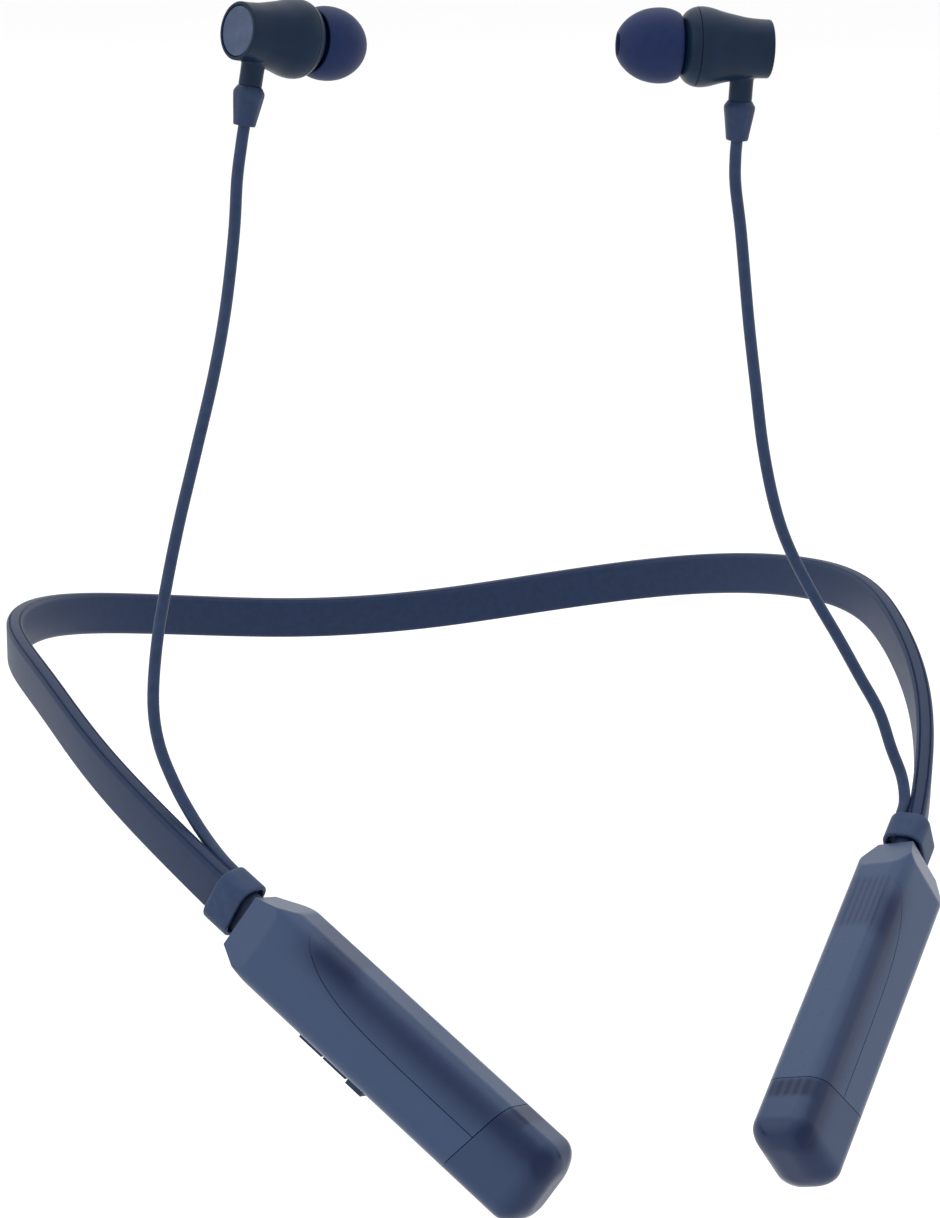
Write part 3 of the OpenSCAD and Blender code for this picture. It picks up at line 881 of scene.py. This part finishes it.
def add_collar(side):
    """A cup for the neck in front, a rounded rim, and a stepped end where strip and cord come out."""
    lip = 0.3
    rings = [collar_ring(COLLAR_FLOOR, 2.4), collar_ring(COLLAR_FLOOR, COLLAR_LIP + lip)]
    rings += [collar_ring(COLLAR_FLOOR + 0.3, COLLAR_LIP)]
    rings += [collar_ring(COLLAR_FRONT - lip, COLLAR_LIP)]
    for t in lines(0, 180, 8):
        a = math.radians(t)
        rings.append(collar_ring(COLLAR_FRONT - lip + lip * math.sin(a), COLLAR_LIP / 2 * (1 + math.cos(a))))
    rings += [collar_ring(x, 0.0) for x in lines(COLLAR_FRONT - 0.8, COLLAR_BACK + 1.2, 5)]
    shoulder = 0.7
    for t in lines(15, 90, 6):
        a = math.radians(t)
        rings.append(collar_ring(COLLAR_BACK + shoulder * (1 - math.sin(a)), shoulder * (1 - math.cos(a))))
    rings.append(collar_ring(COLLAR_BACK, 2.4))
    obj = loft("collar_" + side + "_cup", rings, mirror=side == "left", sharp=50)
    settle(obj, "collar", "arm_" + side, "collar_rubber", "collar_" + side)


for side in ("left", "right"):
    add_collar(side)


# ---------------------------------------------------------------- earbuds
BUD_R = 6.5
BACK_R = 4.75
BUD_LEN = 12.4
NOZZLE_R = 2.5
NOZZLE_END = 21.2
TIP_R = 6.1


def add_bud(side):
    body = "arm_" + side

    def place(x, y, z):
        return bud_point(side, x, y, z)

    rear = [(0.7, BACK_R - 0.62), (0.0, BACK_R - 0.55), (0.0, BACK_R - 0.3)]
    rear += arc(0.25, BACK_R - 0.25, 0.25, 180, 90, 4)
    rear += smooth_profile([(0.5, BACK_R), (2.0, BACK_R + 0.05), (4.0, BACK_R + 0.22), (6.0, BACK_R + 0.6),
                            (8.0, BUD_R - 0.72), (9.8, BUD_R - 0.22), (11.2, BUD_R),
                            (BUD_LEN - 0.15, BUD_R - 0.03)])
    rear += [(BUD_LEN, BUD_R - 0.12), (BUD_LEN, BUD_R - 0.8)]
    housing = lathe("bud_rear_" + side + "_housing", rear, place)
    settle(housing, "bud", body, "bud_gloss", "bud_rear_" + side)

    stem_profile = [(-8.5, 1.5), (-8.5, 1.85), (-8.4, 1.95), (-6.5, 1.95), (-5.2, 1.97)]
    stem_profile += [(-4.9, 2.02), (-4.65, 2.15), (-4.45, 2.4), (-4.3, 2.75), (-4.0, 2.9)]
    stem = lathe("bud_stem_" + side, stem_profile, lambda x, y, z: bud_point(side, STEM_X + y, z, x), 64)
    settle(stem, "bud", body, "bud_gloss")

    front = [(BUD_LEN, BUD_R - 0.8), (BUD_LEN, BUD_R - 0.3), (BUD_LEN + 0.08, BUD_R - 0.14)]
    front += smooth_profile([(BUD_LEN + 0.15, BUD_R - 0.1), (13.1, BUD_R - 0.3), (13.9, BUD_R - 0.8),
                             (14.6, BUD_R - 1.7), (15.0, BUD_R - 2.6), (15.2, NOZZLE_R + 0.9)])
    front += [(15.25, NOZZLE_R + 0.3), (15.35, NOZZLE_R), (NOZZLE_END - 0.3, NOZZLE_R)]
    front += [(NOZZLE_END, NOZZLE_R - 0.3), (NOZZLE_END, 1.9), (NOZZLE_END - 0.5, 1.9)]
    settle(lathe("bud_front_" + side + "_nozzle", front, place), "bud", body, "bud_front_plastic",
           "bud_front_" + side)

    plate = [(0.32, 0.0), (0.3, 1.5), (0.22, 3.2), (0.1, BACK_R - 0.95), (0.12, BACK_R - 0.75),
             (0.3, BACK_R - 0.66), (0.8, BACK_R - 0.66)]
    settle(lathe("back_plate_" + side + "_disc", plate, place), "plate", body, "back_plate_paint",
           "back_plate_" + side)

    r = TIP_R
    tip = [(20.6, NOZZLE_R + 0.06), (15.7, NOZZLE_R + 0.06), (15.6, NOZZLE_R + 0.3), (15.7, NOZZLE_R + 0.75)]
    tip += smooth_profile([(18.5, NOZZLE_R + 0.85), (21.0, NOZZLE_R + 0.9), (21.9, NOZZLE_R + 1.3),
                           (21.3, r - 1.7), (19.6, r - 0.95), (17.6, r - 0.85), (15.6, r - 1.2)])
    tip += arc(15.45, r - 0.95, 0.24, 260, 120, 5)
    tip += smooth_profile([(16.0, r - 0.42), (16.9, r - 0.14), (18.2, r), (19.6, r - 0.08), (21.0, r - 0.38),
                           (22.3, r - 0.92), (23.4, r - 1.62), (24.3, r - 2.45), (24.9, r - 3.2)])
    tip += smooth_profile([(25.2, r - 3.75), (25.3, 2.15), (25.2, 1.9), (24.8, 1.8)])
    tip += [(22.0, 1.8), (21.6, 1.85), (21.6, NOZZLE_R + 0.06)]
    settle(lathe("eartip_" + side + "_dome", tip, place), "tip", "tip_" + side, "tip_silicone",
           "eartip_" + side)

    def flute(x, a):
        near_middle = hump(x, -11.8, 2.2)
        return 1 - 0.05 * near_middle * (0.5 + 0.5 * math.cos(6 * a)) ** 2

    relief = [(-8.5, 1.2), (-8.5, 1.9), (-8.62, 2.05), (-9.3, 2.5), (-9.55, 2.6), (-9.9, 2.6)]
    relief += smooth_profile([(-10.1, 2.58), (-11.2, 2.42), (-12.6, 2.2), (-14.0, 1.98), (-14.8, 1.87)])
    relief += [(-15.0, 1.75), (-15.0, 1.02), (-13.5, 1.0)]
    settle(lathe("relief_" + side + "_sleeve", relief, lambda x, y, z: bud_point(side, STEM_X + y, z, x), 72,
                 flute=flute), "relief", body, "relief_rubber", "relief_" + side)


for side in ("left", "right"):
    add_bud(side)


# ---------------------------------------------------------------- CAD nodes that stay
KEPT = {
    "neck_left": "neck", "neck_right": "neck", "core_left": "core", "core_right": "core",
    "main_board": "board", "charge_board": "board", "tact_switches": "metal", "status_light": "light",
    "microphone": "metal", "button_volume_up": "button", "button_volume_down": "button",
    "button_power": "button",
    "battery": "cell", "usb_port": "metal", "magnet_left": "metal", "magnet_right": "metal",
    "driver_left": "metal", "driver_right": "metal", "mesh_left": "gauze", "mesh_right": "gauze",
}


def soften(obj, width):
    bevel = obj.modifiers.new("soft_edges", "BEVEL")
    bevel.width = width * 0.001
    bevel.segments = 3
    bevel.limit_method = "ANGLE"
    bevel.angle_limit = math.radians(40)


for name, key in KEPT.items():
    dress(NODES[name], key)
    if name.startswith("button"):
        soften(NODES[name], 0.35)
    elif name.startswith("neck"):
        soften(NODES[name], 0.2)


# ---------------------------------------------------------------- floor and light
# Metres from the lowest point of the earphones, which are held up, down to the floor.
FLOOR_DROP = 0.26


def add_floor():
    half = 6.0
    low = cad_box[0][2] - FLOOR_DROP
    mesh = bpy.data.meshes.new("floor")
    corners = [(-half, -half, low), (half, -half, low), (half, half, low), (-half, half, low)]
    mesh.from_pydata(corners, [], [(0, 1, 2, 3)])
    floor = bpy.data.objects.new("floor", mesh)
    bpy.context.scene.collection.objects.link(floor)
    mesh.materials.append(finish("floor_paper", (0.93, 0.93, 0.93), 0.9, 60, 0.02, 1e-4, vary=0.005))


def add_light(name, at, target, size, watts):
    data = bpy.data.lights.new(name, "AREA")
    data.shape = "RECTANGLE"
    data.size, data.size_y = size
    data.energy = watts
    light = bpy.data.objects.new(name, data)
    light.location = at
    light.rotation_euler = (Vector(at) - Vector(target)).to_track_quat("Z", "Y").to_euler()
    bpy.context.scene.collection.objects.link(light)


def add_world():
    """An even white room."""
    world = bpy.data.worlds.new("studio")
    bpy.context.scene.world = world
    world.use_nodes = True
    background = world.node_tree.nodes["Background"]
    background.inputs["Color"].default_value = (1.0, 1.0, 1.0, 1)
    background.inputs["Strength"].default_value = 1.02


add_floor()
add_world()
add_light("top", (0.0, 0.5, 1.7), (0, 0.1, 0), (2.2, 2.2), 12)
add_light("left_side", (-1.5, -0.1, 0.7), (0, -0.1, 0), (1.2, 1.4), 3.5)
add_light("right_side", (1.5, -0.3, 0.8), (0, -0.1, 0), (1.0, 1.4), 1)
bpy.context.scene.view_settings.view_transform = "Standard"
